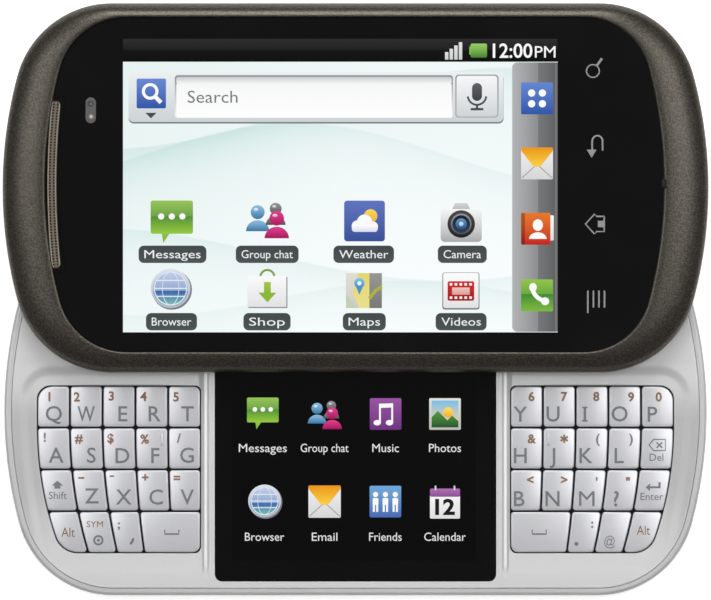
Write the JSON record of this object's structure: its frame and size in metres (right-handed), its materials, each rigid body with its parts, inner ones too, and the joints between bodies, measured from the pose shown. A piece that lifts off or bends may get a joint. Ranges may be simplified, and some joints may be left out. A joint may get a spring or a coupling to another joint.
{
  "type": "slider phone",
  "caption": "Slider phone with a wide touchscreen half that slides up to show a split keyboard around a small second display.",
  "frame": {"origin": "centre of the base half's flat back face", "axes": "+X along the length, to the right in the picture; +Y the way the display half slides open; +Z out of the screens"},
  "size_m": [0.1214, 0.1021, 0.0157],
  "materials": {
    "case_soft_touch": "soft matte",
    "bezel_metallic": "fine grained metallic paint",
    "silver_deck": "satin silver paint",
    "silver_band": "satin silver",
    "keycap_silver": "satin silver",
    "black_glass": "polished",
    "display_module": "flat",
    "bronze_mesh": "woven",
    "spring_steel": "brushed",
    "board": "solder mask",
    "cell": "film wrap",
    "black_rubber": "matte",
    "screw_steel": "blackened",
    "flex_film": "amber film",
    "camera_window": "polished",
    "side_key_metal": "metallic paint"
  },
  "bodies": {
    "base": {"rear_case": "case_soft_touch", "battery_cover": "case_soft_touch", "battery": "cell", "main_board": "board", "camera_lens": "camera_window", "case_screws": "screw_steel", "side_band": "silver_band", "key_deck": "silver_deck", "keymat": "black_rubber", "inner_lens": "black_glass", "inner_display": "display_module", "guide_rails": "spring_steel"},
    "display_half": {"slide_plate": "spring_steel", "upper_back_cover": "case_soft_touch", "upper_bezel": "bezel_metallic", "touch_lens": "black_glass", "main_display": "display_module", "earpiece": "bronze_mesh", "slide_springs": "spring_steel", "display_flex": "flex_film"},
    "power_key": {"power_key": "side_key_metal"},
    "volume_rocker": {"volume_rocker": "side_key_metal"},
    "key_t": {"key_t": "keycap_silver"},
    "key_r": {"key_r": "keycap_silver"},
    "key_e": {"key_e": "keycap_silver"},
    "key_w": {"key_w": "keycap_silver"},
    "key_q": {"key_q": "keycap_silver"},
    "key_g": {"key_g": "keycap_silver"},
    "key_f": {"key_f": "keycap_silver"},
    "key_d": {"key_d": "keycap_silver"},
    "key_s": {"key_s": "keycap_silver"},
    "key_a": {"key_a": "keycap_silver"},
    "key_v": {"key_v": "keycap_silver"},
    "key_c": {"key_c": "keycap_silver"},
    "key_x": {"key_x": "keycap_silver"},
    "key_z": {"key_z": "keycap_silver"},
    "key_shift": {"key_shift": "keycap_silver"},
    "key_space_left": {"key_space_left": "keycap_silver"},
    "key_comma": {"key_comma": "keycap_silver"},
    "key_symbol": {"key_symbol": "keycap_silver"},
    "key_alt_left": {"key_alt_left": "keycap_silver"},
    "key_y": {"key_y": "keycap_silver"},
    "key_u": {"key_u": "keycap_silver"},
    "key_i": {"key_i": "keycap_silver"},
    "key_o": {"key_o": "keycap_silver"},
    "key_p": {"key_p": "keycap_silver"},
    "key_h": {"key_h": "keycap_silver"},
    "key_j": {"key_j": "keycap_silver"},
    "key_k": {"key_k": "keycap_silver"},
    "key_l": {"key_l": "keycap_silver"},
    "key_delete": {"key_delete": "keycap_silver"},
    "key_b": {"key_b": "keycap_silver"},
    "key_n": {"key_n": "keycap_silver"},
    "key_m": {"key_m": "keycap_silver"},
    "key_question": {"key_question": "keycap_silver"},
    "key_enter": {"key_enter": "keycap_silver"},
    "key_space_right": {"key_space_right": "keycap_silver"},
    "key_period": {"key_period": "keycap_silver"},
    "key_at": {"key_at": "keycap_silver"},
    "key_alt_right": {"key_alt_right": "keycap_silver"}
  },
  "joints": [
    {"name": "display_slide", "type": "slide", "parent": "base", "child": "display_half", "axis": [0, -1, 0], "range_m": [0, 0.0386], "deforming": ["slide_springs", "display_flex"]},
    {"name": "key_t_press", "type": "slide", "parent": "base", "child": "key_t", "axis": [0, 0, -1], "range_m": [0, 0.0003], "stiffness_N_per_m": 800},
    {"name": "key_r_press", "type": "slide", "parent": "base", "child": "key_r", "axis": [0, 0, -1], "range_m": [0, 0.0003], "stiffness_N_per_m": 800},
    {"name": "key_e_press", "type": "slide", "parent": "base", "child": "key_e", "axis": [0, 0, -1], "range_m": [0, 0.0003], "stiffness_N_per_m": 800},
    {"name": "key_w_press", "type": "slide", "parent": "base", "child": "key_w", "axis": [0, 0, -1], "range_m": [0, 0.0003], "stiffness_N_per_m": 800},
    {"name": "key_q_press", "type": "slide", "parent": "base", "child": "key_q", "axis": [0, 0, -1], "range_m": [0, 0.0003], "stiffness_N_per_m": 800},
    {"name": "key_g_press", "type": "slide", "parent": "base", "child": "key_g", "axis": [0, 0, -1], "range_m": [0, 0.0003], "stiffness_N_per_m": 800},
    {"name": "key_f_press", "type": "slide", "parent": "base", "child": "key_f", "axis": [0, 0, -1], "range_m": [0, 0.0003], "stiffness_N_per_m": 800},
    {"name": "key_d_press", "type": "slide", "parent": "base", "child": "key_d", "axis": [0, 0, -1], "range_m": [0, 0.0003], "stiffness_N_per_m": 800},
    {"name": "key_s_press", "type": "slide", "parent": "base", "child": "key_s", "axis": [0, 0, -1], "range_m": [0, 0.0003], "stiffness_N_per_m": 800},
    {"name": "key_a_press", "type": "slide", "parent": "base", "child": "key_a", "axis": [0, 0, -1], "range_m": [0, 0.0003], "stiffness_N_per_m": 800},
    {"name": "key_v_press", "type": "slide", "parent": "base", "child": "key_v", "axis": [0, 0, -1], "range_m": [0, 0.0003], "stiffness_N_per_m": 800},
    {"name": "key_c_press", "type": "slide", "parent": "base", "child": "key_c", "axis": [0, 0, -1], "range_m": [0, 0.0003], "stiffness_N_per_m": 800},
    {"name": "key_x_press", "type": "slide", "parent": "base", "child": "key_x", "axis": [0, 0, -1], "range_m": [0, 0.0003], "stiffness_N_per_m": 800},
    {"name": "key_z_press", "type": "slide", "parent": "base", "child": "key_z", "axis": [0, 0, -1], "range_m": [0, 0.0003], "stiffness_N_per_m": 800},
    {"name": "key_shift_press", "type": "slide", "parent": "base", "child": "key_shift", "axis": [0, 0, -1], "range_m": [0, 0.0003], "stiffness_N_per_m": 800},
    {"name": "key_space_left_press", "type": "slide", "parent": "base", "child": "key_space_left", "axis": [0, 0, -1], "range_m": [0, 0.0003], "stiffness_N_per_m": 800},
    {"name": "key_comma_press", "type": "slide", "parent": "base", "child": "key_comma", "axis": [0, 0, -1], "range_m": [0, 0.0003], "stiffness_N_per_m": 800},
    {"name": "key_symbol_press", "type": "slide", "parent": "base", "child": "key_symbol", "axis": [0, 0, -1], "range_m": [0, 0.0003], "stiffness_N_per_m": 800},
    {"name": "key_alt_left_press", "type": "slide", "parent": "base", "child": "key_alt_left", "axis": [0, 0, -1], "range_m": [0, 0.0003], "stiffness_N_per_m": 800},
    {"name": "key_y_press", "type": "slide", "parent": "base", "child": "key_y", "axis": [0, 0, -1], "range_m": [0, 0.0003], "stiffness_N_per_m": 800},
    {"name": "key_u_press", "type": "slide", "parent": "base", "child": "key_u", "axis": [0, 0, -1], "range_m": [0, 0.0003], "stiffness_N_per_m": 800},
    {"name": "key_i_press", "type": "slide", "parent": "base", "child": "key_i", "axis": [0, 0, -1], "range_m": [0, 0.0003], "stiffness_N_per_m": 800},
    {"name": "key_o_press", "type": "slide", "parent": "base", "child": "key_o", "axis": [0, 0, -1], "range_m": [0, 0.0003], "stiffness_N_per_m": 800},
    {"name": "key_p_press", "type": "slide", "parent": "base", "child": "key_p", "axis": [0, 0, -1], "range_m": [0, 0.0003], "stiffness_N_per_m": 800},
    {"name": "key_h_press", "type": "slide", "parent": "base", "child": "key_h", "axis": [0, 0, -1], "range_m": [0, 0.0003], "stiffness_N_per_m": 800},
    {"name": "key_j_press", "type": "slide", "parent": "base", "child": "key_j", "axis": [0, 0, -1], "range_m": [0, 0.0003], "stiffness_N_per_m": 800},
    {"name": "key_k_press", "type": "slide", "parent": "base", "child": "key_k", "axis": [0, 0, -1], "range_m": [0, 0.0003], "stiffness_N_per_m": 800},
    {"name": "key_l_press", "type": "slide", "parent": "base", "child": "key_l", "axis": [0, 0, -1], "range_m": [0, 0.0003], "stiffness_N_per_m": 800},
    {"name": "key_delete_press", "type": "slide", "parent": "base", "child": "key_delete", "axis": [0, 0, -1], "range_m": [0, 0.0003], "stiffness_N_per_m": 800},
    {"name": "key_b_press", "type": "slide", "parent": "base", "child": "key_b", "axis": [0, 0, -1], "range_m": [0, 0.0003], "stiffness_N_per_m": 800},
    {"name": "key_n_press", "type": "slide", "parent": "base", "child": "key_n", "axis": [0, 0, -1], "range_m": [0, 0.0003], "stiffness_N_per_m": 800},
    {"name": "key_m_press", "type": "slide", "parent": "base", "child": "key_m", "axis": [0, 0, -1], "range_m": [0, 0.0003], "stiffness_N_per_m": 800},
    {"name": "key_question_press", "type": "slide", "parent": "base", "child": "key_question", "axis": [0, 0, -1], "range_m": [0, 0.0003], "stiffness_N_per_m": 800},
    {"name": "key_enter_press", "type": "slide", "parent": "base", "child": "key_enter", "axis": [0, 0, -1], "range_m": [0, 0.0003], "stiffness_N_per_m": 800},
    {"name": "key_space_right_press", "type": "slide", "parent": "base", "child": "key_space_right", "axis": [0, 0, -1], "range_m": [0, 0.0003], "stiffness_N_per_m": 800},
    {"name": "key_period_press", "type": "slide", "parent": "base", "child": "key_period", "axis": [0, 0, -1], "range_m": [0, 0.0003], "stiffness_N_per_m": 800},
    {"name": "key_at_press", "type": "slide", "parent": "base", "child": "key_at", "axis": [0, 0, -1], "range_m": [0, 0.0003], "stiffness_N_per_m": 800},
    {"name": "key_alt_right_press", "type": "slide", "parent": "base", "child": "key_alt_right", "axis": [0, 0, -1], "range_m": [0, 0.0003], "stiffness_N_per_m": 800},
    {"name": "power_key_press", "type": "slide", "parent": "base", "child": "power_key", "axis": [0, -1, 0], "range_m": [0, 0.0003], "stiffness_N_per_m": 800},
    {"name": "volume_rocker_press", "type": "slide", "parent": "base", "child": "volume_rocker", "axis": [0, -1, 0], "range_m": [0, 0.0003], "stiffness_N_per_m": 800}
  ]
}
